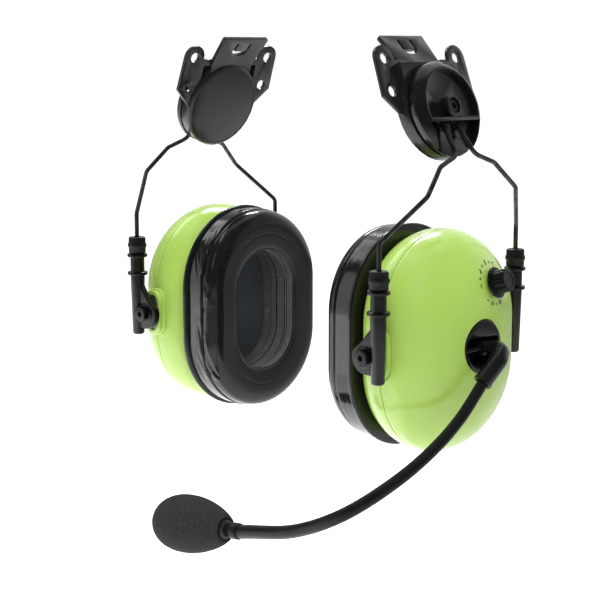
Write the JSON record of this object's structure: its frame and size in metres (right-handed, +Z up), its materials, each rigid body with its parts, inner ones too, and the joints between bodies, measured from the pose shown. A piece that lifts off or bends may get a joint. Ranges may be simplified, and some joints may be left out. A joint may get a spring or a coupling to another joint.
{
  "type": "helmet-mounted ear-muff headset",
  "caption": "Pair of electronic ear-muffs with snap-in helmet brackets, swinging wire yokes, sliding cup pivots and a swivelling gooseneck microphone.",
  "frame": {"origin": "midway between the two hub pivots", "axes": "+X to the wearer's left, +Y to the back of the head, +Z up"},
  "size_m": [0.2168, 0.1472, 0.241],
  "materials": {
    "charcoal_plastic": "satin",
    "steel": "satin",
    "spring_wire": "satin",
    "black_rubber": "matt",
    "lime_plastic": "gloss",
    "gloss_black": "gloss",
    "black_vinyl": "satin",
    "liner_foam": "matt",
    "driver_black": "matt",
    "wind_foam": "matt",
    "board_green": "satin",
    "battery_grey": "satin"
  },
  "bodies": {
    "brackets": {"helmet_bracket_left": "charcoal_plastic", "hub_screw_left": "steel", "helmet_bracket_right": "charcoal_plastic", "hub_screw_right": "steel"},
    "hub_left": {"hub_left": "charcoal_plastic"},
    "yoke_left": {"wire_yoke_left": "spring_wire"},
    "front_slider_left": {"slider_front_left": "charcoal_plastic", "slider_cap_front_left": "black_rubber", "pivot_pin_front_left": "steel"},
    "rear_slider_left": {"slider_rear_left": "charcoal_plastic", "slider_cap_rear_left": "black_rubber", "pivot_pin_rear_left": "steel"},
    "cup_left": {"cup_shell_left": "lime_plastic", "cup_cover_left": "lime_plastic", "rim_plate_left": "gloss_black", "ear_cushion_left": "black_vinyl", "foam_liner_left": "liner_foam", "speaker_left": "driver_black", "spring_plate_front_left": "steel", "spring_plate_rear_left": "steel", "volume_switch": "driver_black", "circuit_board": "board_green", "battery": "battery_grey"},
    "hub_right": {"hub_right": "charcoal_plastic"},
    "yoke_right": {"wire_yoke_right": "spring_wire"},
    "front_slider_right": {"slider_front_right": "charcoal_plastic", "slider_cap_front_right": "black_rubber", "pivot_pin_front_right": "steel"},
    "rear_slider_right": {"slider_rear_right": "charcoal_plastic", "slider_cap_rear_right": "black_rubber", "pivot_pin_rear_right": "steel"},
    "cup_right": {"cup_shell_right": "lime_plastic", "cup_cover_right": "lime_plastic", "rim_plate_right": "gloss_black", "ear_cushion_right": "black_vinyl", "foam_liner_right": "liner_foam", "speaker_right": "driver_black", "spring_plate_front_right": "steel", "spring_plate_rear_right": "steel"},
    "knob": {"volume_knob": "gloss_black", "knob_shaft": "steel"},
    "turret": {"boom_turret": "gloss_black", "boom_hinge_pin": "steel"},
    "boom_arm": {"boom_elbow": "gloss_black", "boom_gooseneck": "black_rubber", "mic_collar": "gloss_black", "mic_capsule": "driver_black", "mic_windscreen": "wind_foam"}
  },
  "joints": [
    {"name": "hub_left", "type": "hinge", "parent": "brackets", "child": "hub_left", "pos_m": [0.0703, 0, 0], "axis": [0.9438, 0, 0.3305], "range_deg": [-30, 60]},
    {"name": "yoke_left", "type": "hinge", "parent": "hub_left", "child": "yoke_left", "pos_m": [0.07899, 0, -0.00183], "axis": [0, -1, 0], "range_deg": [0, 30]},
    {"name": "front_slider_left", "type": "slide", "parent": "yoke_left", "child": "front_slider_left", "axis": [0, 0, 1], "range_m": [-0.024, 0.006]},
    {"name": "rear_slider_left", "type": "slide", "parent": "yoke_left", "child": "rear_slider_left", "axis": [0, 0, 1], "range_m": [-0.024, 0.006]},
    {"name": "cup_left", "type": "hinge", "parent": "front_slider_left", "child": "cup_left", "pos_m": [0.0753, 0.0009, -0.1036], "axis": [0, -1, 0], "range_deg": [-12, 12]},
    {"name": "hub_right", "type": "hinge", "parent": "brackets", "child": "hub_right", "pos_m": [-0.0703, 0, 0], "axis": [0.9438, 0, -0.3305], "range_deg": [-30, 60]},
    {"name": "yoke_right", "type": "hinge", "parent": "hub_right", "child": "yoke_right", "pos_m": [-0.07899, 0, -0.00183], "axis": [0, 1, 0], "range_deg": [0, 30]},
    {"name": "front_slider_right", "type": "slide", "parent": "yoke_right", "child": "front_slider_right", "axis": [0, 0, 1], "range_m": [-0.024, 0.006]},
    {"name": "rear_slider_right", "type": "slide", "parent": "yoke_right", "child": "rear_slider_right", "axis": [0, 0, 1], "range_m": [-0.024, 0.006]},
    {"name": "cup_right", "type": "hinge", "parent": "front_slider_right", "child": "cup_right", "pos_m": [-0.0753, 0.0009, -0.1036], "axis": [0, 1, 0], "range_deg": [-12, 12]},
    {"name": "volume", "type": "hinge", "parent": "cup_left", "child": "knob", "pos_m": [0.09883, 0.0102, -0.0751], "axis": [0.9453, 0.1418, 0.2939], "range_deg": [-157.5, 180]},
    {"name": "boom_turret", "type": "hinge", "parent": "cup_left", "child": "turret", "pos_m": [0.1017, 0, -0.1021], "axis": [0.9976, -0.0698, 0], "range_deg": [-70, 30]},
    {"name": "boom_arm", "type": "hinge", "parent": "turret", "child": "boom_arm", "pos_m": [0.0996, 0.004, -0.1034], "axis": [0, -1, 0], "range_deg": [-5, 20]}
  ],
  "couplings": [
    {"joint": "rear_slider_left", "follows": "front_slider_left", "ratio": 1},
    {"joint": "rear_slider_right", "follows": "front_slider_right", "ratio": 1}
  ]
}
